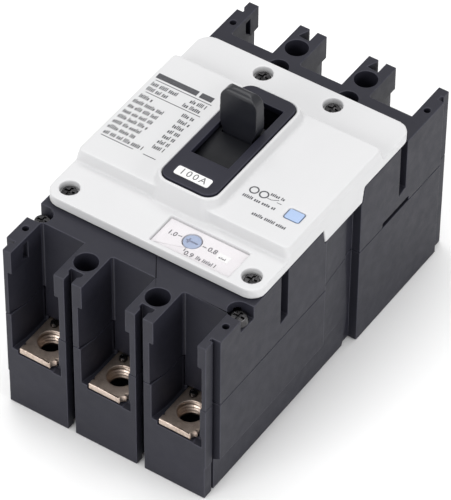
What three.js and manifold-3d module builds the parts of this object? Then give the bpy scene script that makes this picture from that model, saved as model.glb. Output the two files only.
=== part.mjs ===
import * as THREE from 'three';
import { mergeVertices } from 'three/addons/utils/BufferGeometryUtils.js';
import Module from 'manifold-3d';

const wasm = await Module();
wasm.setup();

// Driving dimensions in millimetres. X runs across the poles, Y from the load end (0) to the
// line end (LENGTH), Z up from the mounting face. part() moves Y so that the origin lies at
// the centre of the mounting face.
const WIDTH = 75;
const LENGTH = 130;
const BASE_TOP = 37.5;
const DECK_TOP = 63.8;
const FLANGE_TOP = 67.5;
const RAISED_TOP = 71.8;
const BEZEL_TOP = 75.7;
const POLES = [-25, 0, 25];
const GAP = 0.3;
const MID = LENGTH / 2;
const POCKET = { half: 7.6, mouth: 9.05, depth: 15.5, floor: 23.5, lip: 55 };
const BAY = { y0: 20, y1: 110, floor: 3, midHalf: 10.3, inner: 14.7, outer: 33.2 };
const MOUNT = { x: 12.5, y: 9.5, rHead: 3.72, rHole: 2.2, seat: 8 };
const CASE_SCREWS = [[34.5, 18.3], [-34.5, 18.3], [12.5, 110.2], [-12.5, 110.2]];
const COVER_SCREWS = [[32, 28.7], [-32, 28.7], [12.5, 101.8], [-12.5, 101.8]];
const COVER = { y0: 22.9, y1: 107.1, corner: 4.8 };
const RAISED = { half: 36.8, y0: 39.8, y1: 90.2 };
const BEZEL = { half: 9.45, y0: 41.4, y1: 88.4, corner: 3.6 };
const SLOT = { half: 6.6, y0: 54.4, y1: 83.6 };
const HANDLE_PIVOT = [69.4, 33];
const HANDLE_LEAN = 3.35;
const CONTACT_PIVOT = [60, 30];
const CONTACT_OPEN = 13.6;
const TRIP_PIVOT = [41, 46];
const CRADLE_PIVOT = [82, 54];
const DIAL = { x: 9.6, y: 31.3, r: 2.85 };
const WINDOW = { x0: -0.9, x1: 26.7, y0: 24.5, y1: 36.1 };
const BUTTON = { x: 31, y: 52.4, dx: 2.5, dy: 2.0 };

// ---------- solid helpers ----------

function solid(geometry) {
  geometry.deleteAttribute('normal');
  geometry.deleteAttribute('uv');
  const g = mergeVertices(geometry, 1e-5);
  return new wasm.Manifold(new wasm.Mesh({
    numProp: 3,
    vertProperties: new Float32Array(g.attributes.position.array),
    triVerts: new Uint32Array(g.index.array),
  }));
}

function flat(points) {
  return new THREE.Shape(points.map(([a, b]) => new THREE.Vector2(a, b)));
}

function extrude(points, depth) {
  return new THREE.ExtrudeGeometry(flat(points), { depth, bevelEnabled: false, steps: 1 });
}

// Prism with its outline in X and Y, standing from z0 to z1.
function prismZ(points, z0, z1) {
  return solid(extrude(points, z1 - z0).translate(0, 0, z0));
}

// Prism with its outline in Y and Z, running from x0 to x1.
function prismX(points, x0, x1) {
  const g = extrude(points, x1 - x0).translate(0, 0, x0);
  return solid(g.applyMatrix4(new THREE.Matrix4().set(0, 0, 1, 0, 1, 0, 0, 0, 0, 1, 0, 0, 0, 0, 0, 1)));
}

// Prism with its outline in X and Z, running from y0 to y1.
function prismY(points, y0, y1) {
  const g = extrude(points.map(([x, z]) => [z, x]), y1 - y0).translate(0, 0, y0);
  return solid(g.applyMatrix4(new THREE.Matrix4().set(0, 1, 0, 0, 0, 0, 1, 0, 1, 0, 0, 0, 0, 0, 0, 1)));
}

function box(x0, x1, y0, y1, z0, z1) {
  const g = new THREE.BoxGeometry(x1 - x0, y1 - y0, z1 - z0);
  return solid(g.translate((x0 + x1) / 2, (y0 + y1) / 2, (z0 + z1) / 2));
}

// Upright cylinder.
function post(x, y, r, z0, z1, n = 24) {
  return prismZ(circle(x, y, r, n), z0, z1);
}

function circle(a, b, r, n = 24) {
  const out = [];
  for (let i = 0; i < n; i++) {
    const t = (2 * Math.PI * (i + 0.5)) / n;
    out.push([a + r * Math.cos(t), b + r * Math.sin(t)]);
  }
  return out;
}

function roundRect(x0, x1, y0, y1, r, n = 5) {
  const out = [];
  const corners = [[x1 - r, y0 + r, -90], [x1 - r, y1 - r, 0], [x0 + r, y1 - r, 90], [x0 + r, y0 + r, 180]];
  for (const [cx, cy, start] of corners) {
    for (let i = 0; i <= n; i++) {
      const t = THREE.MathUtils.degToRad(start + (90 * i) / n);
      out.push([cx + r * Math.cos(t), cy + r * Math.sin(t)]);
    }
  }
  return out;
}

// Solid between two convex outlines with the same number of points.
function loft(low, z0, high, z1) {
  const n = low.length;
  const position = [...low.map(([x, y]) => [x, y, z0]), ...high.map(([x, y]) => [x, y, z1])].flat();
  const index = [];
  for (let i = 0; i < n; i++) {
    const j = (i + 1) % n;
    index.push(i, j, n + j, i, n + j, n + i);
    if (i > 0 && i < n - 1) index.push(0, i + 1, i, n, n + i, n + i + 1);
  }
  const g = new THREE.BufferGeometry();
  g.setAttribute('position', new THREE.Float32BufferAttribute(position, 3));
  g.setIndex(index);
  return solid(g);
}

// Outline of a bent strip of thickness t along a path, with mitred corners.
function strip(path, t) {
  const left = [];
  const right = [];
  for (let i = 0; i < path.length; i++) {
    const a = path[Math.max(i - 1, 0)];
    const b = path[i];
    const c = path[Math.min(i + 1, path.length - 1)];
    const u = new THREE.Vector2(b[0] - a[0], b[1] - a[1]).normalize();
    const v = new THREE.Vector2(c[0] - b[0], c[1] - b[1]).normalize();
    if (i === 0) u.copy(v);
    if (i === path.length - 1) v.copy(u);
    const m = new THREE.Vector2(-u.y - v.y, u.x + v.x).normalize();
    const k = t / 2 / (m.x * -u.y + m.y * u.x);
    left.push([b[0] + m.x * k, b[1] + m.y * k]);
    right.push([b[0] - m.x * k, b[1] - m.y * k]);
  }
  return [...right, ...left.reverse()];
}

function union(list) {
  return list.reduce((a, b) => a.add(b));
}

function cut(body, list) {
  return body.subtract(union(list));
}

function mirrorX(points) {
  return points.map(([x, y]) => [-x, y]).reverse();
}

function bothSides(make) {
  return [make(1), make(-1)];
}

// Turns a solid about the X direction through a point given in Y and Z. A positive angle
// carries the top towards the line end.
function lean(s, pivot, degrees) {
  const moved = s.translate([0, -pivot[0], -pivot[1]]).rotate([-degrees, 0, 0]);
  return moved.translate([0, pivot[0], pivot[1]]);
}

function at(s, x) {
  return s.translate([x, 0, 0]);
}

const group = new THREE.Group();
group.name = 'moulded_case_circuit_breaker';

const FINISH = {
  black: { color: 0x2b2b31, roughness: 0.55, metalness: 0 },
  bezel: { color: 0x25252b, roughness: 0.5, metalness: 0 },
  white: { color: 0xe8e7e4, roughness: 0.45, metalness: 0 },
  label: { color: 0xf2f1ee, roughness: 0.5, metalness: 0 },
  blue: { color: 0x8fb8ea, roughness: 0.4, metalness: 0 },
  clear: { color: 0xe8eef2, roughness: 0.1, metalness: 0 },
  plated: { color: 0xb59c82, roughness: 0.35, metalness: 1 },
  copper: { color: 0xb8734a, roughness: 0.4, metalness: 1 },
  steel: { color: 0x9a9da1, roughness: 0.4, metalness: 1 },
  screw: { color: 0x3a3a3e, roughness: 0.4, metalness: 1 },
  insulator: { color: 0x6b3b2a, roughness: 0.7, metalness: 0 },
};

function part(name, s, finish) {
  const mesh = s.getMesh();
  const g = new THREE.BufferGeometry();
  g.setAttribute('position', new THREE.BufferAttribute(new Float32Array(mesh.vertProperties), 3));
  g.setIndex(new THREE.BufferAttribute(new Uint32Array(mesh.triVerts), 1));
  g.translate(0, -MID, 0);
  g.computeVertexNormals();
  const m = new THREE.Mesh(g, new THREE.MeshStandardMaterial(FINISH[finish]));
  m.name = name;
  group.add(m);
}

// ---------- case ----------

// Half outline of the case in plan: end flanges, grip grooves and the side recess.
const CASE_SIDE = [
  [35.5, 0], [35.5, 3.7], [34.3, 3.7], [34.3, 4.7], [37.5, 4.7], [37.5, 60.2], [36.5, 61.4],
  [35.9, 66], [35.2, 74.6], [34.5, 76.2], [34.5, 79.2], [37.5, 79.2], [37.5, 125.1],
  [35.3, 125.1], [35.3, 126.9], [36.2, 126.9], [36.2, LENGTH],
];

function caseBlock(z0, z1) {
  return prismZ([...CASE_SIDE, ...mirrorX(CASE_SIDE)], z0, z1);
}

// Cuts shared by the base and the case cover, so that the two halves line up.
function endCuts(z0, z1) {
  const list = [];
  const low = Math.max(z0, POCKET.floor);
  const t = [
    [-1.35, -1], [1.35, -1], [1.35, 2.8], [2.25, 3.7], [2.25, 5.0], [-2.25, 5.0], [-2.25, 3.7], [-1.35, 2.8],
  ];
  const hook = [[-1.35, -1], [1.35, -1], [1.35, 4.8], [-2.65, 4.4], [-1.35, 1.2]];
  for (const flip of [(y) => y, (y) => LENGTH - y]) {
    for (const x of POLES) {
      list.push(plan(pocketPlan(x), flip, low, z1 + 1));
      const m = z0 < BASE_TOP ? POCKET.mouth - 0.6 : POCKET.mouth;
      const h = POCKET.half;
      const flare = [[x - m, -1], [x + m, -1], [x + m, 0.9], [x + h, 6], [x - h, 6], [x - m, 0.9]];
      list.push(plan(flare, flip, low, Math.min(z1 + 1, POCKET.lip)));
    }
    for (const cx of [-12.45, 12.45]) {
      const slot = flip(0) > MID ? hook : t;
      list.push(plan(slot.map(([x, y]) => [cx + x, y]), flip, z0 - 1, z1 + 1));
    }
  }
  return list;
}

// Plan of a terminal pocket at the load end, with one back corner bevelled.
function pocketPlan(x) {
  const h = POCKET.half;
  const d = POCKET.depth;
  const c = 0.6;
  return [[x - h, -1], [x + h, -1], [x + h, d], [x - h + c, d], [x - h, d - c]];
}

// Prism over a plan outline that is given for the load end and may be flipped to the line end.
function plan(outline, flip, z0, z1) {
  const points = outline.map(([x, y]) => [x, flip(y)]);
  return prismZ(area(points) > 0 ? points : points.reverse(), z0, z1);
}

function area(points) {
  return points.reduce((sum, [x, y], i) => {
    const [u, v] = points[(i + 1) % points.length];
    return sum + x * v - u * y;
  }, 0);
}

function mountHoles(z0, z1) {
  const list = [];
  for (const x of [MOUNT.x, -MOUNT.x]) {
    for (const y of [MOUNT.y, LENGTH - MOUNT.y]) {
      if (z0 < MOUNT.seat) list.push(post(x, y, MOUNT.rHole, z0 - 1, MOUNT.seat + 1, 20));
      list.push(post(x, y, MOUNT.rHead, Math.max(z0 - 1, MOUNT.seat), z1 + 1, 28));
    }
  }
  return list;
}

function bays(z0, z1) {
  const list = [box(-BAY.midHalf, BAY.midHalf, BAY.y0, BAY.y1, z0, z1)];
  for (const s of [1, -1]) {
    const [a, b] = [s * BAY.inner, s * BAY.outer].sort((p, q) => p - q);
    list.push(box(a, b, BAY.y0, BAY.y1, z0, z1));
  }
  return list;
}

function baseHousing() {
  let s = cut(caseBlock(0, BASE_TOP), [
    ...endCuts(0, BASE_TOP), ...mountHoles(0, BASE_TOP), ...bays(BAY.floor, BASE_TOP + 1),
  ]);
  const foot = [[35.2, -1], [39, -1], [39, 15.2], [37.6, 14.3], [35.2, 12.9]];
  s = cut(s, [prismY(foot, -1, 76), prismY(mirrorX(foot), -1, 76)]);
  const list = [];
  for (const x of POLES) {
    // Seats for the terminal plates, the clearance under each tapped hole, and the
    // openings in the end walls that the case cover's tongues close.
    list.push(box(x - 6.5, x + 6.5, -1, 21, 22, 26));
    list.push(box(x - 6.5, x + 6.5, 109, LENGTH + 1, 22, 26));
    list.push(box(x + 6, x + 9.05, -1, 2.8, 21.6, 26));
    list.push(post(x, 8, 5.6, 11, 24, 20), post(x, LENGTH - 8, 5.6, 11, 24, 20));
    for (const [sx, sy] of terminalScrewPlaces(x)) list.push(post(sx, sy, 1.15, 12, 24, 12));
    list.push(box(x - 7.6, x + 7.6, 15, 21, 24.8, BASE_TOP + 1));
    list.push(box(x - 7.6, x + 7.6, 109, 115, 24.8, BASE_TOP + 1));
  }
  // Saddle for the contact shaft in the walls between poles.
  const [cy, cz] = CONTACT_PIVOT;
  list.push(prismX(circle(cy, cz, 5.4, 16), -15, -10), prismX(circle(cy, cz, 5.4, 16), 10, 15));
  for (const s2 of [-15, 10]) list.push(box(s2, s2 + 5, cy - 5.2, cy + 5.2, cz, BASE_TOP + 1));
  for (const [x, y] of CASE_SCREWS) list.push(post(x, y, 1.4, 18, BASE_TOP + 1, 12));
  // Posts on the walls between poles that carry the trip bar.
  const [ty, tz] = TRIP_PIVOT;
  for (const a of [-14.4, 10.6]) s = s.add(box(a, a + 3.8, ty - 2.6, ty + 2.6, BASE_TOP - 1, tz));
  list.push(prismX(circle(ty, tz, 2.85, 16), -15, 15));
  return cut(s, list);
}

function coverHousing() {
  const z0 = BASE_TOP + 0.25;
  let s = cut(caseBlock(z0, DECK_TOP), [
    ...endCuts(z0, DECK_TOP), ...mountHoles(z0, DECK_TOP), ...bays(z0 - 1, DECK_TOP - 2.5),
  ]);
  const add = [];
  for (const x of POLES) {
    // Tongues that close the terminal openings of the base.
    add.push(box(x - 7.3, x + 7.3, POCKET.depth, 19.7, 25.1, BASE_TOP + 2));
    add.push(box(x - 7.3, x + 7.3, 110.3, LENGTH - POCKET.depth, 25.1, BASE_TOP + 2));
  }
  for (const [x, y] of COVER_SCREWS.slice(0, 2)) {
    const k = Math.sign(x);
    const [a, b] = [k * 29.4, k * 33.6].sort((p, q) => p - q);
    add.push(box(a, b, y - 2.6, y + 2.6, 50, DECK_TOP - 1));
  }
  s = union([s, ...add]);
  const list = [];
  list.push(box(-9.3, 9.3, 36.5, 98, DECK_TOP - 4, DECK_TOP + 1));
  list.push(box(BUTTON.x - 3, BUTTON.x + 2.4, BUTTON.y - 2.4, BUTTON.y + 2.4, DECK_TOP - 4, DECK_TOP + 1));
  list.push(post(DIAL.x, DIAL.y, 2.0, 51, DECK_TOP + 1, 16));
  const [ty, tz] = TRIP_PIVOT;
  list.push(prismX(circle(ty, tz, 2.9, 16), -15, 15), box(-15, 15, ty - 2.95, ty + 2.95, z0 - 1, tz));
  for (const [x, y] of CASE_SCREWS.slice(0, 2)) {
    const side = Math.sign(x) * 39;
    list.push(post(x, y, 3.4, 59, DECK_TOP + 1, 24));
    list.push(box(Math.min(x, side), Math.max(x, side), y - 3.37, y + 3.37, 59, DECK_TOP + 1));
  }
  for (const [x, y] of CASE_SCREWS.slice(2)) list.push(post(x, y, 3.3, 59, DECK_TOP + 1, 24));
  for (const [x, y] of CASE_SCREWS) list.push(post(x, y, 1.5, z0 - 1, 60, 12));
  for (const [x, y] of COVER_SCREWS) list.push(post(x, y, 1.6, 51.5, DECK_TOP + 1, 12));
  for (const k of [1, -1]) {
    const side = (outline) => (k > 0 ? prismX(outline, 34.7, 40) : prismX(outline, -40, -34.7));
    list.push(side([[36, 44.2], [39.8, 45.2], [39.8, 65], [36, 65]]));
    list.push(side([[100.8, 43.7], [104.6, 44.7], [104.6, 65], [100.8, 65]]));
    list.push(side([[92, 37], [106.8, 37], [106.8, 39.4], [92, 39.4]]));
    const skirt = [[59.2, 58.1], [80, 58.1], [81.1, 65], [58, 65]];
    list.push(k > 0 ? prismX(skirt, 35.3, 40) : prismX(skirt, -40, -35.3));
    list.push(post(k * 35.05, 10.8, 1.1, 57, DECK_TOP + 1, 12));
    list.push(post(k * 35.05, LENGTH - 10.8, 1.1, 57, DECK_TOP + 1, 12));
  }
  // Blind windows in the outer pocket walls that hold the clips of a terminal shroud.
  for (const k of [1, -1]) {
    const [a, b] = [k * 32.4, k * 34.4].sort((p, q) => p - q);
    list.push(prismX([[5.9, 56.6], [8.5, 55.2], [8.5, 61.8], [5.9, 61.8]], a, b));
    list.push(prismX([[122.8, 57.3], [125.3, 55.4], [125.3, 61.8], [122.8, 61.8]], a, b));
  }
  // Gas vents over the line terminals.
  for (const x of POLES) {
    for (const dx of [-4.2, 0, 4.2]) list.push(box(x + dx - 0.9, x + dx + 0.9, 109, 116, 41, 54));
  }
  return cut(s, list);
}

function screwAt([x, y], top, headR, headH, shankR, bottom) {
  const n = headR > 2 ? 20 : 14;
  const head = loft(circle(x, y, headR, n), top - headH, circle(x, y, headR * 0.82, n), top);
  const body = head.add(post(x, y, shankR, bottom, top - headH + 0.2, 12));
  const w = headR * 0.15;
  const l = headR * 0.62;
  const recess = (dx, dy) => box(x - dx, x + dx, y - dy, y + dy, top - 0.8, top + 1);
  return cut(body, [recess(w, l), recess(l, w)]);
}

// ---------- front cover and bezel ----------

function frontCover() {
  const z0 = DECK_TOP + 0.15;
  const w = WIDTH / 2;
  const c = COVER;
  const r = RAISED;
  const b = BEZEL;
  const solids = [
    prismZ(roundRect(-w, w, c.y0, c.y1, c.corner), z0, FLANGE_TOP),
    loft(roundRect(-w - 0.5, w + 0.5, r.y0 - 0.5, r.y1 + 0.6, 1.4, 3), FLANGE_TOP - 0.2,
      roundRect(-r.half, r.half, r.y0, r.y1, 1.4, 3), RAISED_TOP).intersect(box(-w, w, 0, LENGTH, 60, 80)),
    loft(roundRect(-12.9, 12.9, 38.2, 91.6, 5.6), FLANGE_TOP - 0.1,
      roundRect(-10.7, 10.7, 40.2, 89.6, 4.6), 75.2),
  ];
  for (const k of [1, -1]) {
    const skirt = [[59.5, 58.4], [79.7, 58.4], [80.7, 64.5], [58.4, 64.5]];
    solids.push(k > 0 ? prismX(skirt, 35.6, w) : prismX(skirt, -w, -35.6));
  }
  const hollow = [
    prismZ(roundRect(-35.7, 35.7, c.y0 + 1.8, c.y1 - 1.8, 3, 3), z0 - 1, 65.7),
    box(-35.2, 35.2, r.y0 + 1.4, r.y1 - 1.4, 65, RAISED_TOP - 2),
    prismZ(roundRect(-b.half - GAP, b.half + GAP, b.y0 - GAP, b.y1 + GAP, b.corner + GAP), 60, 80),
  ];
  let s = cut(union(solids), hollow);
  const tub = WINDOW;
  const wells = [];
  for (const [x, y] of COVER_SCREWS) wells.push(post(x, y, 4.5, z0, FLANGE_TOP - 1, 24));
  wells.push(box(tub.x0 - 1.2, tub.x1 + 1.2, tub.y0 - 1.2, tub.y1 + 1.2, z0, 66));
  s = union([s, ...wells]);
  const holes = [];
  for (const [x, y] of COVER_SCREWS) {
    holes.push(post(x, y, 3.1, z0 + 0.8, FLANGE_TOP + 1, 28), post(x, y, 1.7, z0 - 1, z0 + 1, 12));
  }
  holes.push(box(tub.x0, tub.x1, tub.y0, tub.y1, 64.8, 70));
  holes.push(box(tub.x0 + 1.2, tub.x1 - 1.2, tub.y0 + 1.2, tub.y1 - 1.2, 60, 66));
  const u = BUTTON;
  const around = [u.x - u.dx - GAP, u.x + u.dx + GAP, u.y - u.dy - GAP, u.y + u.dy + GAP];
  holes.push(prismZ(roundRect(...around, 0.7, 3), 66, 80));
  return cut(s, holes);
}

function handleBezel() {
  const b = BEZEL;
  const outer = prismZ(roundRect(-b.half, b.half, b.y0, b.y1, b.corner), DECK_TOP + 0.2, BEZEL_TOP);
  const hollow = box(-7.95, 7.95, b.y0 + 1.6, b.y1 - 1.6, 60, 73.6);
  const slot = box(-SLOT.half, SLOT.half, SLOT.y0, SLOT.y1, 70, 80);
  const seat = prismZ(roundRect(-6.2, 6.2, 43.9, 47.9, 0.9, 3), BEZEL_TOP - 0.3, 80);
  return cut(outer, [hollow, slot, seat]);
}

// ---------- handle ----------

function fromPivot([py, pz], points) {
  return points.map(([y, z]) => [py + y, pz + z]);
}

function handle() {
  const [py, pz] = HANDLE_PIVOT;
  const r = 4.4;
  const w = 6.4;
  const top = pz + 57.5;
  const paddle = [[-5.2, pz + 38.4], [5.2, pz + 38.4], [5.2, pz + 40.9], [5.8, pz + 42.4], [w, pz + 44.8]];
  for (const side of [0, 1]) {
    for (let i = 0; i <= 8; i++) {
      const t = (Math.PI / 2) * (side + i / 8);
      paddle.push([(side ? r - w : w - r) + r * Math.cos(t), top - r + r * Math.sin(t)]);
    }
  }
  paddle.push([-w, pz + 44.8], [-5.8, pz + 42.4], [-5.2, pz + 40.9]);
  const crown = [];
  for (let i = 0; i <= 12; i++) {
    const t = (Math.PI * i) / 12;
    crown.push([-1.4 + 1.95 * Math.cos(t), 55.6 + 1.9 * Math.sin(t)]);
  }
  const section = fromPivot(HANDLE_PIVOT, [[-2.7, 37], [1.9, 37], [1.9, 42], ...crown, [-2.9, 42], [-2.7, 40]]);
  const blade = prismY(paddle, py - 4, py + 4).intersect(prismX(section, -8, 8));
  const neck = box(-5.0, 5.0, py - 2.3, py + 1.8, pz + 30, pz + 38.6);
  const block = box(-7, 7, py - 4, py + 4, pz + 28.5, pz + 31.5);
  const slot = box(-4.8, 4.8, py - 0.9, py + 0.9, pz + 28, pz + 30.4);
  return lean(cut(union([blade, neck, block]), [slot]), HANDLE_PIVOT, HANDLE_LEAN);
}

function arc(r0, r1, a0, a1, n) {
  const out = [];
  for (let i = 0; i <= n; i++) {
    const t = THREE.MathUtils.degToRad(a0 + ((a1 - a0) * i) / n);
    out.push([r1 * Math.sin(t), r1 * Math.cos(t)]);
  }
  for (let i = n; i >= 0; i--) {
    const t = THREE.MathUtils.degToRad(a0 + ((a1 - a0) * i) / n);
    out.push([r0 * Math.sin(t), r0 * Math.cos(t)]);
  }
  return out.reverse();
}

function handleShutter() {
  const [py, pz] = HANDLE_PIVOT;
  const sheet = prismX(fromPivot(HANDLE_PIVOT, arc(38.9, 40.1, -32, 8, 16)), -7.6, 7.6);
  const hole = box(-5.5, 5.5, py - 2.98, py + 2.2, pz + 30, pz + 50);
  return lean(cut(sheet, [hole]), HANDLE_PIVOT, HANDLE_LEAN);
}

function handleYoke() {
  const leg = fromPivot(HANDLE_PIVOT, [
    [-3.4, 0], [-2.4, -2.4], [0, -3.4], [2.4, -2.4], [3.4, 0], [3, 6], [3, 28.2], [-3, 28.2], [-3, 6],
  ]);
  const [py, pz] = HANDLE_PIVOT;
  let s = union([
    prismX(leg, 7.2, 8.4), prismX(leg, -8.4, -7.2),
    box(-8.4, 8.4, py - 3, py + 3, pz + 27, pz + 28.2),
    box(-4.5, 4.5, py - 0.6, py + 0.6, pz + 28, pz + 30.1),
  ]);
  s = cut(s, [prismX(circle(py, pz, 1.8, 14), -9, 9)]);
  return lean(s, HANDLE_PIVOT, HANDLE_LEAN);
}

class Helix extends THREE.Curve {
  constructor(r, turns, z0, z1) {
    super();
    Object.assign(this, { r, turns, z0, z1 });
  }

  getPoint(t, target = new THREE.Vector3()) {
    const a = 2 * Math.PI * this.turns * t;
    return target.set(this.r * Math.cos(a), this.r * Math.sin(a), this.z0 + (this.z1 - this.z0) * t);
  }
}

// Coil spring along Z, centred on x and y, made as one swept wire.
function coil(x, y, r, wire, turns, z0, z1) {
  const path = new Helix(r, turns, z0 + wire, z1 - wire);
  const g = new THREE.ExtrudeGeometry(flat(circle(0, 0, wire, 5)), {
    steps: Math.round(turns * 10), extrudePath: path, bevelEnabled: false,
  });
  return solid(g.translate(x, y, 0));
}

function mainSpring(x) {
  const [py, pz] = HANDLE_PIVOT;
  return lean(coil(x, py, 1.6, 0.35, 6, pz + 14.6, pz + 26.7), HANDLE_PIVOT, HANDLE_LEAN);
}

// ---------- mechanism ----------

function sidePlate(k) {
  const [cy, cz] = CONTACT_PIVOT;
  const [hy, hz] = HANDLE_PIVOT;
  const outline = [
    [52, 3.4], [88, 3.4], [88, 30], [86, 58], [78, 60.5], [64, 60.5], [54, 54], [52, 44],
    [52, cz + 5.6], [cy, cz + 5.6], [cy + 4, cz + 4], [cy + 5.6, cz], [cy + 4, cz - 4],
    [cy, cz - 5.6], [52, cz - 5.6],
  ];
  const put = (p, a, b) => (k > 0 ? prismX(p, a, b) : prismX(p, -b, -a));
  const foot = k > 0 ? box(5.4, 9.2, 64, 84, 3.4, 4.6) : box(-9.2, -5.4, 64, 84, 3.4, 4.6);
  return cut(union([
    put(outline, 8.9, 10), foot,
    put(circle(hy, hz, 1.5, 14), 7, 9.2),
  ]), [put(circle(CRADLE_PIVOT[0], CRADLE_PIVOT[1], 1.6, 14), 8, 11)]);
}

function cradleLever() {
  const outline = [
    [47, 50.6], [52, 50.6], [70, 50.4], [80, 51.6], [84.4, 52.2], [84.6, 55.2], [83, 56.4], [79, 56.2],
    [70, 55], [52, 54.6], [48.6, 54.2], [47, 52.6],
  ];
  return prismX(outline, -1, 1).add(prismX(circle(...CRADLE_PIVOT, 1.35, 14), -9.9, 9.9));
}

function crossbar() {
  const [cy, cz] = CONTACT_PIVOT;
  let s = prismX(circle(cy, cz, 5, 16), -32.6, 32.6);
  for (const x of POLES) s = s.add(prismX(circle(cy, cz, 7.4, 16), x - 4.7, x + 4.7));
  const slots = POLES.map((x) => {
    const b = box(x - 3.25, x + 3.25, cy - 9, cy + 9, cz - 2.4, cz + 2.4);
    return lean(b, CONTACT_PIVOT, -CONTACT_OPEN);
  });
  return cut(s, slots);
}

function movingArm(x) {
  const outline = fromPivot(CONTACT_PIVOT, [
    [-7, -2.1], [12, -2.1], [29.5, -3.8], [29.7, -6.1], [34.4, -6.1], [35.2, -2.8], [36.4, 0.9],
    [34.6, 1.8], [12, 2.1], [-7, 2.1],
  ]);
  return at(lean(prismX(outline, -3, 3), CONTACT_PIVOT, -CONTACT_OPEN), x);
}

function toggleLink() {
  const [cy, cz] = CONTACT_PIVOT;
  const plate = strip([[cy + 4.4, cz + 6.6], [cy + 8, cz + 10]], 3.4);
  return union([
    prismX(plate, 5, 6), prismX(plate, -6, -5),
    prismX(circle(cy + 7.2, cz + 9.2, 1.1, 12), -6.4, 6.4),
  ]);
}

function lineTerminal(x) {
  const path = [[129.7, 23.4], [103, 23.4], [103, 12], [84, 12], [84, 21.9], [97.5, 21.9]];
  const bar = prismX(strip(path, 2.2), -4.6, 4.6);
  const plate = box(-6.2, 6.2, 110.6, 129.7, 22.3, 24.5);
  const pad = box(-2.6, 2.6, 89.6, 94.6, 22.8, 23.5);
  return at(terminalHole(union([bar, plate, pad]), LENGTH - 8, LENGTH), x);
}

// Where the small screws stand that hold the load and the line terminal of one pole.
function terminalScrewPlaces(x) {
  return [[x - 3.2, 14.05], [x + 3.2, LENGTH - 14.05]];
}

function terminalHole(s, y, end) {
  const dir = end > MID ? -1 : 1;
  const collar = post(0, y, 5.3, 18.6, 22.5, 20);
  const notch = bothSides((k) => {
    const v = [[k * 5.4, end + dir * 2.9], [k * 7, end + dir * 1.9], [k * 7, end + dir * 3.9]];
    return prismZ(area(v) > 0 ? v : v.reverse(), 20, 26);
  });
  const corner = post(6.4, end + dir * 0.5, 1.5, 20, 26, 24);
  const [load, line] = terminalScrewPlaces(0);
  const screw = end > MID ? line : load;
  return cut(s.add(collar), [post(0, y, 4.1, 10, 30, 28), post(...screw, 1.15, 20, 30, 12), corner, ...notch]);
}

function loadTerminal(x) {
  const bar = prismX(strip([[0.3, 23.4], [27, 23.4], [27, 44]], 2.2), -4, 4);
  const plate = box(-6.2, 6.2, 0.3, 19.4, 22.3, 24.5);
  return at(terminalHole(union([bar, plate]), 8, 0), x);
}

function bimetal(x) {
  const leaf = prismX(strip([[28.5, 27], [30.6, 29.5], [30.6, 52]], 1), -3.5, 3.5);
  const screw = prismY(circle(0, 49, 1.2, 10), 28.6, 33.6);
  return at(leaf.add(screw), x);
}

function magnetYoke(x) {
  const u = [
    [-6.8, 22.6], [6.8, 22.6], [6.8, 31.6], [5.2, 31.6], [5.2, 24.4], [-5.2, 24.4], [-5.2, 31.6], [-6.8, 31.6],
  ];
  return at(prismZ(u, 28, 41), x);
}

function armature(x) {
  const plate = box(-6.6, 6.6, 33.8, 35, 26.6, 40);
  const finger = box(-1.6, 1.6, 33.8, 35, 39, 42.6);
  return at(plate.add(finger), x);
}

function braid(x) {
  const path = [[30.4, 17.2], [34, 13], [39, 12.4], [43.4, 16], [45.6, 22], [49.6, 25.2]];
  return at(prismX(strip(path, 2.6), -2.8, 2.8), x);
}

function tripBar() {
  const [ty, tz] = TRIP_PIVOT;
  let s = prismX(circle(ty, tz, 2.5, 12), -32.6, 32.6);
  const finger = fromPivot(TRIP_PIVOT, [[-4.6, 1.6], [-1, -1.2], [0.6, 1], [-2.6, 5.2], [-4.6, 5.2]]);
  for (const x of POLES) s = s.add(prismX(finger, x - 2, x + 2));
  const latch = fromPivot(TRIP_PIVOT, [[-1, 1], [1.8, 0.6], [2.9, 6.4], [0.6, 7]]);
  s = s.add(prismX(latch, 2.4, 5.6));
  return s.add(prismX(fromPivot(TRIP_PIVOT, [[0, -1.4], [13.2, -0.6], [13.2, 1.6], [0, 2.2]]), 29, 32.5));
}

function arcChute(x) {
  const list = [box(-8, -7, 88.6, 108.6, 27, 58.4), box(7, 8, 88.6, 108.6, 27, 58.4)];
  const plate = [[-7.4, 98.6], [-3, 98.6], [0, 103.4], [3, 98.6], [7.4, 98.6], [7.4, 108], [-7.4, 108]];
  for (let i = 0; i < 8; i++) list.push(prismZ(plate, 29 + 3.8 * i, 30 + 3.8 * i));
  return at(union(list), x);
}

// ---------- controls ----------

function adjustDial() {
  const { x, y, r } = DIAL;
  const body = union([post(x, y, r - 0.1, 64.0, 66.4, 28), post(x, y, 1.6, 52, 64.2, 16)]);
  const slot = [box(x - 2.1, x + 1.9, y - 0.32, y + 0.32, 65.8, 67)];
  slot.push(box(x - 1.5, x - 0.9, y - 1.1, y + 1.1, 65.8, 67));
  return cut(body, slot);
}

function settingPlate() {
  const t = WINDOW;
  const plate = box(t.x0 + 0.25, t.x1 - 0.25, t.y0 + 0.25, t.y1 - 0.25, 65.0, 66.6);
  return cut(plate, [post(DIAL.x, DIAL.y, DIAL.r + 0.3, 60, 70, 28)]);
}

function dialWindow() {
  const t = WINDOW;
  return box(t.x0 + 0.2, t.x1 - 0.2, t.y0 + 0.2, t.y1 - 0.2, 66.85, 67.4);
}

function tripButton() {
  const { x, y, dx, dy } = BUTTON;
  return union([
    prismZ(roundRect(x - dx, x + dx, y - dy, y + dy, 0.5, 3), 68.2, RAISED_TOP - 0.1),
    box(x - dx - 0.7, x + dx + 0.7, y - dy - 0.7, y + dy + 0.7, 68.3, 69.5),
    box(x - 1.3, x + 1.3, y - 1.1, y + 1.1, 48.0, 68.5),
  ]);
}

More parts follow.
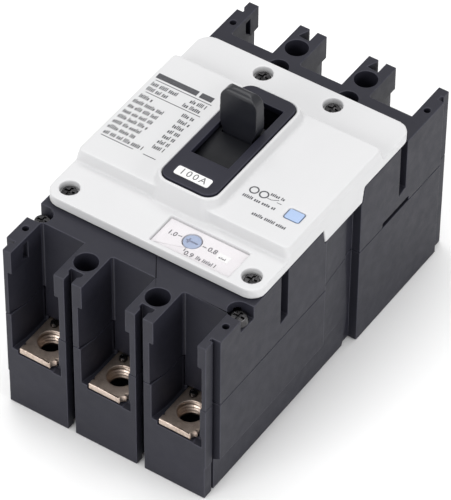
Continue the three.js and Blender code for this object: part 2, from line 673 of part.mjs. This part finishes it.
function ratingLabel() {
  return prismZ(roundRect(-6, 6, 44.1, 47.7, 0.7, 3), BEZEL_TOP - 0.28, BEZEL_TOP + 0.05);
}

// ---------- assembly ----------

part('base_housing', baseHousing(), 'black');
part('cover_housing', coverHousing(), 'black');
part('front_cover', frontCover(), 'white');
part('handle_bezel', handleBezel(), 'bezel');
part('rating_label', ratingLabel(), 'label');
part('handle', handle(), 'black');
part('handle_shutter', handleShutter(), 'bezel');
part('handle_yoke', handleYoke(), 'steel');
part('main_spring_right', mainSpring(4.6), 'steel');
part('main_spring_left', mainSpring(-4.6), 'steel');
part('mechanism_plate_right', sidePlate(1), 'steel');
part('mechanism_plate_left', sidePlate(-1), 'steel');
part('cradle_lever', cradleLever(), 'steel');
part('contact_shaft', crossbar(), 'insulator');
part('toggle_link', toggleLink(), 'steel');
POLES.forEach((x, i) => {
  const n = i + 1;
  part(`line_terminal_${n}`, lineTerminal(x), 'plated');
  part(`load_terminal_${n}`, loadTerminal(x), 'plated');
  part(`moving_contact_${n}`, movingArm(x), 'copper');
  part(`arc_chute_${n}`, arcChute(x), 'insulator');
  part(`bimetal_${n}`, bimetal(x), 'steel');
  part(`magnet_yoke_${n}`, magnetYoke(x), 'steel');
  part(`armature_${n}`, armature(x), 'steel');
  part(`flexible_link_${n}`, braid(x), 'copper');
});
part('trip_bar', tripBar(), 'insulator');
part('trip_button', tripButton(), 'blue');
part('trip_button_spring', coil(BUTTON.x, BUTTON.y, 2.0, 0.25, 4, DECK_TOP + 0.1, 68.2), 'steel');
part('setting_plate', settingPlate(), 'label');
part('adjust_dial', adjustDial(), 'blue');
part('dial_window', dialWindow(), 'clear');
CASE_SCREWS.forEach((p, i) => part(`case_screw_${i + 1}`, screwAt(p, 61.2, 2.9, 2.0, 1.1, 20), 'screw'));
POLES.forEach((x, i) => {
  const [load, line] = terminalScrewPlaces(x);
  part(`load_terminal_screw_${i + 1}`, screwAt(load, 25.7, 1.35, 1.0, 0.85, 13.5), 'screw');
  part(`line_terminal_screw_${i + 1}`, screwAt(line, 25.7, 1.35, 1.0, 0.85, 13.5), 'screw');
});
COVER_SCREWS.forEach((p, i) => part(`cover_screw_${i + 1}`, screwAt(p, 66.1, 2.75, 1.2, 1.3, 52.5), 'screw'));

export default group;
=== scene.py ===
# Visual model of a three-pole moulded-case circuit breaker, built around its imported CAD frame.
import math

import bmesh
import bpy
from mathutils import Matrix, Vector


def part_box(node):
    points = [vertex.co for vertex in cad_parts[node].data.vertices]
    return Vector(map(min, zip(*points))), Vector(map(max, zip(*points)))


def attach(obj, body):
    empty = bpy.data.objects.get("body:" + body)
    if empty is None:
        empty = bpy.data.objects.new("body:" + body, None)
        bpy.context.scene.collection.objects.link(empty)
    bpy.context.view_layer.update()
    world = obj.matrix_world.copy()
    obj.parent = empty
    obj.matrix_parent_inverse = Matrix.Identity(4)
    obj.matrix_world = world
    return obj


# Lengths are in millimetres. X and Z are the frame's own, and Y counts from the load end.
MM = 0.001
MID = 65.0  # half the length, where the frame has its Y = 0
POLES = (-25.0, 0.0, 25.0)
COVER_TOP = 71.8
DIAL = (9.6, 31.3)
DIAL_SLOT = 65.83  # bottom of the slot in the dial
INK = 0.03  # how far printing stands above its surface, and sinks below it

# Printing on the raised centre of the front cover.
NAME_BARS = ((-35.6, -21.0), (-20.0, -15.6))
NAME_Y = (78.2, 80.4)
RULES = ((-34.9, -14.8, 77.3), (-34.4, -14.8, 71.3), (-34.9, -23.4, 48.85), (-19.8, -15.4, 48.85))
RULE_HALF = 0.13
# Rows of the table: Y, the ends of the first column and the ends of the second.
HEAD_ROWS = (
    (75.5, -35.0, -24.8, -21.0, -15.0),
    (73.0, -35.0, -27.0, -22.0, -15.0),
    (69.2, -35.0, -29.8, -19.7, -15.0),
)
VALUE_ROWS, VALUE_Y, VALUE_PITCH = 6, 66.4, 2.62
LAST_ROW = (50.6, -34.9, -21.0, -18.0, -18.0)
TABLE_TALL = 1.7
# Lines beside the trip button: X ends, Y, height and seed.
BUTTON_LINES = ((20.6, 25.4, 56.0, 1.2, 5), (13.8, 24.9, 51.4, 1.3, 23), (20.3, 32.5, 46.4, 1.3, 71))
RINGS = ((15.6, 54.6), (19.0, 54.6))
RING_RADII = (1.1, 1.55)
RING_BARS = 28
CONTACT_SYMBOL = (((20.7, 53.9), (22.0, 53.9)), ((22.0, 53.9), (23.9, 54.9)), ((24.0, 53.9), (25.4, 53.9)))

# Printing on the setting plate. The dashes are given from the centre of the dial.
DIAL_DASHES = (((-4.6, -0.2), (-3.6, -0.1)), ((3.8, 0.0), (4.8, 0.0)), ((0.1, -4.5), (0.1, -3.7)))
DIAL_NUMBERS = (("a", "1.0", -6.6, -0.4), ("b", "0.9", 2.1, -5.0), ("c", "0.8", 7.1, 0.0))
TAG = (18.9, 22.9, 29.3, 31.9)
TAG_THICK = 0.1

# Tapped thread of the terminals.
HOLE_INSET = 8.0
THREAD_Z = (18.8, 24.45)
THREAD_PITCH, THREAD_ROOT, THREAD_CREST = 1.25, 4.12, 3.72
THREAD_STEPS = 36  # points in a turn

# Studio, in metres, with the lights in watts.
CAMERA_PLACE = (0.452487, -0.685728, 0.856778)
CAMERA_TURN = (0.884075, 0.365452, 0.108066, 0.270516)
CAMERA_LENS = 278.343
WORLD_LIGHT = 0.60
AIM = (0, 0, 0.03)
SOFTBOXES = (
    ("top_box", (-0.15, 0.25, 1.1), (0.9, 0.9), 7.3),
    ("side_box", (1.1, 0.0, 0.4), (0.7, 0.4), 4.3),
    ("front_box", (-0.2, -1.1, 0.6), (0.8, 0.6), 6.8),
)
FLOOR_HALF, FLOOR_CELLS, FLOOR_Z = 6.0, 24, -0.0002


def srgb(r, g, b):
    """Linear colour from 0 to 255 display values."""
    out = []
    for v in (r, g, b):
        c = v / 255
        out.append(c / 12.92 if c <= 0.04045 else ((c + 0.055) / 1.055) ** 2.4)
    return (*out, 1.0)


# ---------- node materials ----------


class Finish:
    """A material under construction: a Principled shader with its procedural inputs."""

    def __init__(self, name, colour, roughness, **values):
        self.material = bpy.data.materials.new(name)
        self.material.use_nodes = True
        self.tree = self.material.node_tree
        self.tree.nodes.clear()
        output = self.add("ShaderNodeOutputMaterial")
        self.shader = self.add("ShaderNodeBsdfPrincipled")
        self.link(self.shader.outputs["BSDF"], output.inputs["Surface"])
        self.coords = self.add("ShaderNodeTexCoord").outputs["Object"]
        self.shader.inputs["Base Color"].default_value = colour
        self.roughness = roughness
        self.shader.inputs["Roughness"].default_value = roughness
        for key, value in values.items():
            self.shader.inputs[key.replace("_", " ")].default_value = value

    def add(self, kind, **settings):
        node = self.tree.nodes.new(kind)
        for key, value in settings.items():
            setattr(node, key, value)
        return node

    def link(self, a, b):
        self.tree.links.new(a, b)

    def noise(self, scale, detail=2.0, rough=0.5, stretch=None):
        """Noise with about scale features per metre, optionally stretched along an axis."""
        node = self.add("ShaderNodeTexNoise")
        node.inputs["Scale"].default_value = scale
        node.inputs["Detail"].default_value = detail
        node.inputs["Roughness"].default_value = rough
        vector = self.coords
        if stretch:
            mapping = self.add("ShaderNodeMapping")
            mapping.inputs["Scale"].default_value = stretch
            self.link(vector, mapping.inputs["Vector"])
            vector = mapping.outputs["Vector"]
        self.link(vector, node.inputs["Vector"])
        return node.outputs["Fac"]

    def ramp(self, value, low, high, to_low=0.0, to_high=1.0):
        """value from low..high rescaled to to_low..to_high."""
        node = self.add("ShaderNodeMapRange")
        node.inputs["From Min"].default_value = low
        node.inputs["From Max"].default_value = high
        node.inputs["To Min"].default_value = to_low
        node.inputs["To Max"].default_value = to_high
        self.link(value, node.inputs["Value"])
        return node.outputs["Result"]

    def vary_roughness(self, value, spread):
        varied = self.ramp(value, 0.3, 0.7, self.roughness - spread, self.roughness + spread)
        self.link(varied, self.shader.inputs["Roughness"])

    def mix(self, factor, a, b):
        node = self.add("ShaderNodeMix", data_type="RGBA")
        self.link(factor, node.inputs["Factor"])
        for value, socket in ((a, node.inputs["A"]), (b, node.inputs["B"])):
            if isinstance(value, bpy.types.NodeSocket):
                self.link(value, socket)
            else:
                socket.default_value = value
        return node.outputs["Result"]

    def paint(self, colour):
        self.link(colour, self.shader.inputs["Base Color"])

    def bump(self, height, distance, after=None):
        """Relief of about distance metres, on top of an earlier relief if there is one."""
        node = self.add("ShaderNodeBump")
        node.inputs["Strength"].default_value = 1.0
        node.inputs["Distance"].default_value = distance
        self.link(height, node.inputs["Height"])
        if after is not None:
            self.link(after, node.inputs["Normal"])
        self.link(node.outputs["Normal"], self.shader.inputs["Normal"])
        return node.outputs["Normal"]


def shade(colour, k):
    """The colour k times as bright."""
    return (*(min(1.0, c * k) for c in colour[:3]), 1.0)


def moulded(name, colour, roughness, grain=0.00002, spread=0.05, depth=0.10, **values):
    """Moulded plastic: fine spark-eroded grain, faint flow variation and a mottled gloss."""
    f = Finish(name, colour, roughness, **values)
    flow = f.noise(38, 3.0, 0.55, (1.0, 0.35, 1.6))
    speck = f.noise(2600, 2.0, 0.6)
    tone = f.mix(f.ramp(flow, 0.3, 0.7), shade(colour, 1 - depth), shade(colour, 1 + depth))
    f.paint(f.mix(f.ramp(speck, 0.62, 0.8), tone, shade(colour, 1 + 2.2 * depth)))
    f.vary_roughness(f.noise(260, 3.0, 0.6), spread)
    first = f.bump(f.noise(3400, 2.0, 0.55), grain)
    f.bump(f.noise(420, 2.0, 0.5), grain * 0.6, after=first)
    return f.material


def highlit_edge(name, colour, roughness, **values):
    """The same plastic for its rounded edges, lighter in noisy patches: a painted highlight along the
    edges.
    """
    f = Finish(name, colour, roughness, **values)
    highlight_noise = f.noise(900, 4.0, 0.65)
    # painted highlight: the edge colour runs from a little darker to much lighter than the plastic, in
    # noisy patches
    f.paint(f.mix(f.ramp(highlight_noise, 0.35, 0.7), shade(colour, 0.9), shade(colour, 1.35)))
    f.vary_roughness(f.noise(1500, 2.0, 0.5), 0.06)
    f.bump(f.noise(3000, 2.0, 0.5), 0.00001)
    return f.material


def plated(name, colour, dark, roughness):
    """Plated or bare metal: rolled grain along Y, faint tarnish and fine scratches."""
    stretch, scratch = (1.0, 6.0, 1.0), 0.000012
    f = Finish(name, colour, roughness, Metallic=1.0)
    tarnish = f.noise(230, 4.0, 0.6)
    fine = f.noise(1500, 3.0, 0.6, stretch)
    tone = f.mix(f.ramp(tarnish, 0.35, 0.68), colour, dark)
    f.paint(f.mix(f.ramp(fine, 0.4, 0.75), tone, shade(colour, 1.15)))
    f.vary_roughness(f.noise(700, 3.0, 0.55, stretch), 0.12)
    first = f.bump(fine, scratch)
    f.bump(f.noise(260, 2.0, 0.5), scratch * 1.5, after=first)
    return f.material


def ink(name, colour):
    """Printing ink, slightly worn."""
    f = Finish(name, colour, 0.55)
    wear = f.noise(1800, 3.0, 0.6)
    f.paint(f.mix(f.ramp(wear, 0.45, 0.8), colour, shade(colour, 1.9)))
    f.vary_roughness(f.noise(900, 2.0, 0.5), 0.05)
    return f.material


def clear_window(name):
    """Thin clear plastic with faint haze and moulding flow."""
    f = Finish(name, srgb(226, 222, 226), 0.10, IOR=1.58, Alpha=0.10)
    haze = f.noise(90, 3.0, 0.5)
    f.paint(f.mix(f.ramp(haze, 0.3, 0.7), srgb(218, 213, 217), srgb(236, 233, 236)))
    f.vary_roughness(f.noise(500, 2.0, 0.5), 0.04)
    f.bump(f.noise(120, 1.0, 0.5), 0.00001)
    return f.material


def make_materials():
    black = srgb(36, 36, 45)
    white = srgb(205, 205, 206)
    return {
        "case_black": moulded("charcoal_plastic", black, 0.52, Specular_IOR_Level=0.25),
        # The edge materials are lighter copies of their plastics: a painted highlight on the rounded edges.
        "case_edge_highlight": highlit_edge("charcoal_edge_highlight", srgb(48, 48, 58), 0.42, Specular_IOR_Level=0.3),
        "bezel_black": moulded("bezel_plastic", srgb(31, 31, 42), 0.46, 0.000012, Specular_IOR_Level=0.25),
        "bezel_edge_highlight": highlit_edge("bezel_edge_highlight", srgb(42, 42, 54), 0.38, Specular_IOR_Level=0.3),
        "handle_black": moulded("handle_plastic", srgb(23, 24, 30), 0.38, 0.000008, depth=0.06),
        "shutter_black": moulded("shutter_plastic", srgb(16, 17, 22), 0.5, 0.00001, Specular_IOR_Level=0.2),
        "cover_white": moulded("cover_plastic", white, 0.44, 0.000014, 0.04, 0.012),
        "label_white": moulded("label_film", srgb(232, 232, 231), 0.36, 0.000004, 0.03, 0.008),
        "setting_white": moulded("setting_film", srgb(222, 219, 221), 0.40, 0.000004, 0.03, 0.012),
        "control_blue": moulded("blue_plastic", srgb(160, 181, 214), 0.38, 0.000008, 0.04, 0.03),
        "dial_blue": moulded("dial_plastic", srgb(134, 154, 188), 0.38, 0.000008, 0.04, 0.04),
        "window_clear": clear_window("window_polycarbonate"),
        "plated_copper": plated("tin_plated_copper", srgb(206, 190, 178), srgb(168, 150, 136), 0.42),
        "copper": plated("bare_copper", srgb(206, 138, 100), srgb(150, 88, 60), 0.34),
        "steel": plated("zinc_steel", srgb(186, 188, 192), srgb(130, 132, 136), 0.34),
        "screw_steel": plated("screw_steel", srgb(74, 73, 74), srgb(30, 30, 32), 0.27),
        "insulator": moulded("red_brown_fibre", srgb(120, 66, 48), 0.66, 0.00003),
        "ink": ink("printing_ink", srgb(62, 62, 66)),
        "label_ink": ink("label_ink", srgb(96, 96, 98)),
        "dial_ink": ink("dial_ink", srgb(66, 84, 122)),
    }


# ---------- softened CAD nodes ----------

WELD_REACH = 2e-6  # metres
FLAT_ANGLE = 0.6  # faces that meet at less than this are one face
SHARP_ANGLE = 32  # edges that turn more than this are rounded


def even_shading(node):
    """Shades flat faces flat and lets the rounded edges run smoothly into them."""
    weighted = node.modifiers.new("shade", "WEIGHTED_NORMAL")
    weighted.keep_sharp = False
    weighted.weight = 50


def soften(node, width, segments=2):
    """Breaks a CAD node's sharp edges with a small real radius, in modifiers only."""
    weld = node.modifiers.new("weld", "WELD")
    weld.merge_threshold = WELD_REACH
    flat = node.modifiers.new("flat", "DECIMATE")
    flat.decimate_type = "DISSOLVE"
    flat.angle_limit = math.radians(FLAT_ANGLE)
    node.modifiers.new("triangles", "TRIANGULATE")
    bevel = node.modifiers.new("edge", "BEVEL")
    bevel.width = width * MM
    bevel.segments = segments
    bevel.limit_method = "ANGLE"
    bevel.angle_limit = math.radians(SHARP_ANGLE)
    bevel.use_clamp_overlap = False
    bevel.loop_slide = False
    bevel.miter_outer = "MITER_SHARP"
    # The rounded edges take the second material, which carries a painted highlight.
    if len(node.data.materials) > 1:
        bevel.material = 1
    even_shading(node)


def polish(node, material, grid, passes, keep):
    """Rounds a CAD node all over, in modifiers only: a voxel skin, smoothed and thinned."""
    node.data.materials.clear()
    node.data.materials.append(material)
    remesh = node.modifiers.new("skin", "REMESH")
    remesh.mode = "VOXEL"
    remesh.voxel_size = grid * MM
    remesh.use_smooth_shade = True
    smooth = node.modifiers.new("round", "SMOOTH")
    smooth.factor = 0.5
    smooth.iterations = passes
    light = node.modifiers.new("light", "DECIMATE")
    light.ratio = keep
    even_shading(node)


def dress(nodes, names, material, edge=None, width=0.15, segments=2):
    """Gives CAD nodes their material, and a second one with a painted highlight for their softened edges if
    there is one.
    """
    for name in names:
        node = nodes[name]
        node.data.materials.clear()
        node.data.materials.append(material)
        if edge:
            node.data.materials.append(edge)
        soften(node, width, segments)


def each(stem, n=len(POLES)):
    """The names of the numbered copies of a node."""
    return [f"{stem}_{i}" for i in range(1, n + 1)]


def dress_nodes(nodes, m):
    dress(nodes, ["base_housing", "cover_housing"], m["case_black"], m["case_edge_highlight"], 0.22)
    polish(nodes["front_cover"], m["cover_white"], 0.28, 6, 0.16)
    dress(nodes, ["handle_bezel"], m["bezel_black"], m["bezel_edge_highlight"], 0.25)
    polish(nodes["handle"], m["handle_black"], 0.16, 7, 0.3)
    dress(nodes, ["handle_shutter"], m["shutter_black"], width=0.12)
    dress(nodes, ["rating_label"], m["label_white"], width=0.03)
    dress(nodes, ["setting_plate"], m["setting_white"], width=0.08)
    dress(nodes, ["trip_button"], m["control_blue"])
    dress(nodes, ["adjust_dial"], m["dial_blue"], width=0.08)
    dress(nodes, ["dial_window"], m["window_clear"], width=0.12)
    terminals = each("load_terminal") + each("line_terminal")
    dress(nodes, terminals, m["plated_copper"], width=0.35, segments=3)
    small = each("load_terminal_screw") + each("line_terminal_screw")
    dress(nodes, small, m["screw_steel"], width=0.04)
    dress(nodes, each("case_screw", 4) + each("cover_screw", 4), m["screw_steel"], width=0.07)
    steel = ["mechanism_plate_right", "mechanism_plate_left", "toggle_link", "cradle_lever"]
    steel += ["handle_yoke", "main_spring_right", "main_spring_left", "trip_button_spring"]
    dress(nodes, steel + each("magnet_yoke") + each("armature") + each("arc_chute"), m["steel"])
    dress(nodes, each("moving_contact") + each("flexible_link") + each("bimetal"), m["copper"])
    dress(nodes, ["contact_shaft", "trip_bar"], m["insulator"])


# ---------- pieces added to the frame ----------


def new_piece(name, bm, material, body):
    """Makes the mesh a piece of its own that rides on a body."""
    bmesh.ops.recalc_face_normals(bm, faces=bm.faces)
    mesh = bpy.data.meshes.new(name)
    bm.to_mesh(mesh)
    bm.free()
    mesh.materials.append(material)
    for polygon in mesh.polygons:
        polygon.use_smooth = False
    piece = bpy.data.objects.new(name, mesh)
    bpy.context.scene.collection.objects.link(piece)
    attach(piece, body)


def point(x, y, z):
    """A point given in millimetres with Y from the load end, as a vector in the part's frame."""
    return Vector((x, y - MID, z)) * MM


def add_plate(bm, outline, z0, z1):
    """A thin closed plate over an outline."""
    low = [bm.verts.new(point(x, y, z0)) for x, y in outline]
    high = [bm.verts.new(point(x, y, z1)) for x, y in outline]
    bm.faces.new(list(reversed(low)))
    bm.faces.new(high)
    n = len(outline)
    for i in range(n):
        j = (i + 1) % n
        bm.faces.new((low[i], low[j], high[j], high[i]))


def bar(bm, x0, x1, y0, y1, z=COVER_TOP, thick=INK):
    add_plate(bm, [(x0, y0), (x1, y0), (x1, y1), (x0, y1)], z - INK, z + thick)


def stroke(bm, a, b, width, z=COVER_TOP):
    """A straight printed line from a to b."""
    along = Vector((b[0] - a[0], b[1] - a[1])).normalized() * (width / 2)
    side = Vector((-along.y, along.x))
    corners = [(a, -along - side), (b, along - side), (b, along + side), (a, -along + side)]
    add_plate(bm, [(p[0] + d.x, p[1] + d.y) for p, d in corners], z - INK, z + INK)


def ring(bm, x, y):
    """A printed ring, made of short bars."""
    r0, r1 = RING_RADII
    for i in range(RING_BARS):
        a, b = 2 * math.pi * i / RING_BARS, 2 * math.pi * (i + 1) / RING_BARS
        quad = [(r0, a), (r1, a), (r1, b), (r0, b)]
        outline = [(x + r * math.cos(t), y + r * math.sin(t)) for r, t in quad]
        add_plate(bm, outline, COVER_TOP - INK, COVER_TOP + INK)


def tick_line(bm, x0, x1, y, tall, seed, z=COVER_TOP):
    """A line of plain ticks in word-like groups, standing for a printed line with no lettering."""
    x, k = x0, seed
    while x < x1 - 0.25:
        k = (k * 73 + 41) % 997
        for _ in range(3 + k % 4):
            k = (k * 73 + 41) % 997
            wide = 0.30 + 0.1 * (k % 3)
            if x + wide > x1:
                return
            drop = 0.16 * tall * (k % 3)
            bar(bm, x, x + wide, y - tall / 2, y + tall / 2 - drop, z)
            x += wide + 0.22
        x += 0.5


def table_rows():
    rows = list(HEAD_ROWS)
    for i in range(VALUE_ROWS):
        rows.append((VALUE_Y - VALUE_PITCH * i, -35.3, -24.6 - 1.0 * (i > 3), -19.3, -15.2))
    return [*rows, LAST_ROW]


def printed_marks(m):
    """Rules and plain marks on the raised centre of the front cover."""
    bm = bmesh.new()
    for x0, x1 in NAME_BARS:
        bar(bm, x0, x1, *NAME_Y)
    for x0, x1, y in RULES:
        bar(bm, x0, x1, y - RULE_HALF, y + RULE_HALF)
    for i, (y, a, b, c, d) in enumerate(table_rows()):
        tick_line(bm, a, b, y, TABLE_TALL, 17 + 31 * i)
        if d > c:
            tick_line(bm, c, d, y, TABLE_TALL, 11 + 57 * i)
    for line in BUTTON_LINES:
        tick_line(bm, *line)
    for x, y in RINGS:
        ring(bm, x, y)
    for a, b in CONTACT_SYMBOL:
        stroke(bm, a, b, 0.2)
    new_piece("printed_marks", bm, m["ink"], "case")


def text_piece(name, text, place, size, material, bold=0.06, spacing=1.0):
    """Numerals as a thin closed mesh lying flat on a face of the case."""
    curve = bpy.data.curves.new(name + "_curve", "FONT")
    curve.body = text
    curve.size = size * MM
    curve.align_x = "CENTER"
    curve.align_y = "CENTER"
    curve.extrude = INK * MM
    curve.offset = bold * MM
    curve.space_character = spacing
    curve.resolution_u = 3
    holder = bpy.data.objects.new(name + "_curve", curve)
    bpy.context.scene.collection.objects.link(holder)
    bpy.context.view_layer.update()
    solved = holder.evaluated_get(bpy.context.evaluated_depsgraph_get())
    mesh = bpy.data.meshes.new_from_object(solved)
    bpy.data.objects.remove(holder)
    bm = bmesh.new()
    bm.from_mesh(mesh)
    bpy.data.meshes.remove(mesh)
    bmesh.ops.remove_doubles(bm, verts=bm.verts, dist=1e-7)
    bmesh.ops.translate(bm, verts=bm.verts, vec=point(*place))
    new_piece(name, bm, material, "case")


def thread(name, x, y, m):
    """The tapped thread of a terminal: a closed helical ridge on the wall of its hole."""
    z0, z1 = THREAD_Z
    fade = THREAD_STEPS * 0.3
    count = int((z1 - z0 - THREAD_PITCH) / THREAD_PITCH * THREAD_STEPS)
    bm = bmesh.new()
    rings = []
    for i in range(count + 1):
        a = 2 * math.pi * i / THREAD_STEPS
        taper = min(1.0, i / fade, (count - i) / fade)
        inner = THREAD_ROOT - (THREAD_ROOT - THREAD_CREST) * max(taper, 0.05)
        z = z0 + THREAD_PITCH * i / THREAD_STEPS
        profile = ((THREAD_ROOT, 0.0), (inner, 0.45), (inner, 0.55), (THREAD_ROOT, 0.98))
        section = []
        for r, rise in profile:
            place = point(x + r * math.cos(a), y + r * math.sin(a), z + rise * THREAD_PITCH)
            section.append(bm.verts.new(place))
        rings.append(section)
    for a, b in zip(rings, rings[1:]):
        for k in range(4):
            j = (k + 1) % 4
            bm.faces.new((a[k], a[j], b[j], b[k]))
    bm.faces.new(rings[0])
    bm.faces.new(list(reversed(rings[-1])))
    new_piece(name, bm, m["plated_copper"], "case")


def terminal_threads(m):
    for i, x in enumerate(POLES, 1):
        thread(f"load_thread_{i}", x, HOLE_INSET, m)
        thread(f"line_thread_{i}", x, 2 * MID - HOLE_INSET, m)


def dial_marks(m):
    """The scale around the setting dial: 1.0, 0.9 and 0.8 with their dashes, and a blank tag."""
    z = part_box("setting_plate")[1].z / MM
    x, y = DIAL
    bm = bmesh.new()
    for a, b in DIAL_DASHES:
        stroke(bm, (x + a[0], y + a[1]), (x + b[0], y + b[1]), 0.34, z)
    tick_line(bm, 14.2, 21.0, 26.5, 1.5, 37, z)
    tick_line(bm, 19.6, 22.2, 30.2, 0.8, 15, z + TAG_THICK)
    new_piece("dial_ticks", bm, m["ink"], "case")
    bm = bmesh.new()
    bar(bm, *TAG, z, TAG_THICK)
    new_piece("setting_tag", bm, m["label_white"], "case")
    for name, text, dx, dy in DIAL_NUMBERS:
        text_piece(f"dial_number_{name}", text, (x + dx, y + dy, z), 2.5, m["ink"])


def dial_arrow(m):
    """The inked arrow in the slot of the dial. It turns with the dial."""
    x, y = DIAL
    bm = bmesh.new()
    bar(bm, x - 1.95, x + 1.75, y - 0.27, y + 0.27, DIAL_SLOT)
    bar(bm, x - 1.45, x - 0.95, y - 1.05, y + 1.05, DIAL_SLOT + 0.01)
    new_piece("dial_arrow", bm, m["dial_ink"], "adjust_dial")


def rating_numbers(m):
    """The ampere rating, in the middle of its label."""
    low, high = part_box("rating_label")
    centre = ((low.x + high.x) / 2 / MM, (low.y + high.y) / 2 / MM + MID, high.z / MM)
    text_piece("rating_number", "100A", centre, 3.5, m["label_ink"], bold=0.02, spacing=1.3)


# ---------- studio ----------


def make_camera():
    data = bpy.data.cameras.new("camera")
    data.lens = CAMERA_LENS
    data.sensor_fit = "AUTO"
    data.sensor_width = 36.0
    data.clip_start, data.clip_end = 0.01, 20.0
    camera = bpy.data.objects.new("camera", data)
    camera.rotation_mode = "QUATERNION"
    camera.location = CAMERA_PLACE
    camera.rotation_quaternion = CAMERA_TURN
    bpy.context.scene.collection.objects.link(camera)
    bpy.context.scene.camera = camera


def softbox(name, place, size, watts):
    data = bpy.data.lights.new(name, "AREA")
    data.shape = "RECTANGLE"
    data.size, data.size_y = size
    data.energy = watts
    light = bpy.data.objects.new(name, data)
    light.location = place
    light.rotation_mode = "QUATERNION"
    light.rotation_quaternion = (Vector(AIM) - Vector(place)).to_track_quat("-Z", "Y")
    bpy.context.scene.collection.objects.link(light)


def make_studio():
    scene = bpy.context.scene
    scene.view_settings.view_transform = "Standard"
    world = bpy.data.worlds.new("studio")
    scene.world = world
    world.use_nodes = True
    background = world.node_tree.nodes["Background"]
    background.inputs["Color"].default_value = (1.0, 1.0, 1.0, 1.0)
    background.inputs["Strength"].default_value = WORLD_LIGHT
    for settings in SOFTBOXES:
        softbox(*settings)


def make_floor():
    """A plain pale sheet of studio paper, just under the part."""
    bm = bmesh.new()
    n = FLOOR_CELLS
    for i in range(n + 1):
        for j in range(n + 1):
            bm.verts.new((FLOOR_HALF * (2 * i / n - 1), FLOOR_HALF * (2 * j / n - 1), FLOOR_Z))
    bm.verts.ensure_lookup_table()
    for i in range(n):
        for j in range(n):
            a = i * (n + 1) + j
            bm.faces.new([bm.verts[k] for k in (a, a + n + 1, a + n + 2, a + 1)])
    mesh = bpy.data.meshes.new("floor")
    bm.to_mesh(mesh)
    bm.free()
    f = Finish("studio_paper", srgb(252, 252, 252), 0.8)
    f.paint(f.mix(f.ramp(f.noise(6, 2.0, 0.5), 0.3, 0.7), srgb(251, 251, 251), srgb(253, 253, 253)))
    f.bump(f.noise(500, 2.0, 0.5), 0.00001)
    mesh.materials.append(f.material)
    floor = bpy.data.objects.new("floor", mesh)
    bpy.context.scene.collection.objects.link(floor)


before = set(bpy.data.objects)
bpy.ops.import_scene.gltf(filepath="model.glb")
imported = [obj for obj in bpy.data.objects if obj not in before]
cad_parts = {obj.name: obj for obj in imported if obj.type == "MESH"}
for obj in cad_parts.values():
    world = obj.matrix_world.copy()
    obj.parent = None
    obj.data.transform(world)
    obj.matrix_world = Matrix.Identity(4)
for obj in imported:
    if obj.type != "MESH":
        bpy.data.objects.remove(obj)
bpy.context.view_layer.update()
materials = make_materials()
make_camera()
dress_nodes(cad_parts, materials)
printed_marks(materials)
terminal_threads(materials)
dial_marks(materials)
dial_arrow(materials)
rating_numbers(materials)
make_floor()
make_studio()
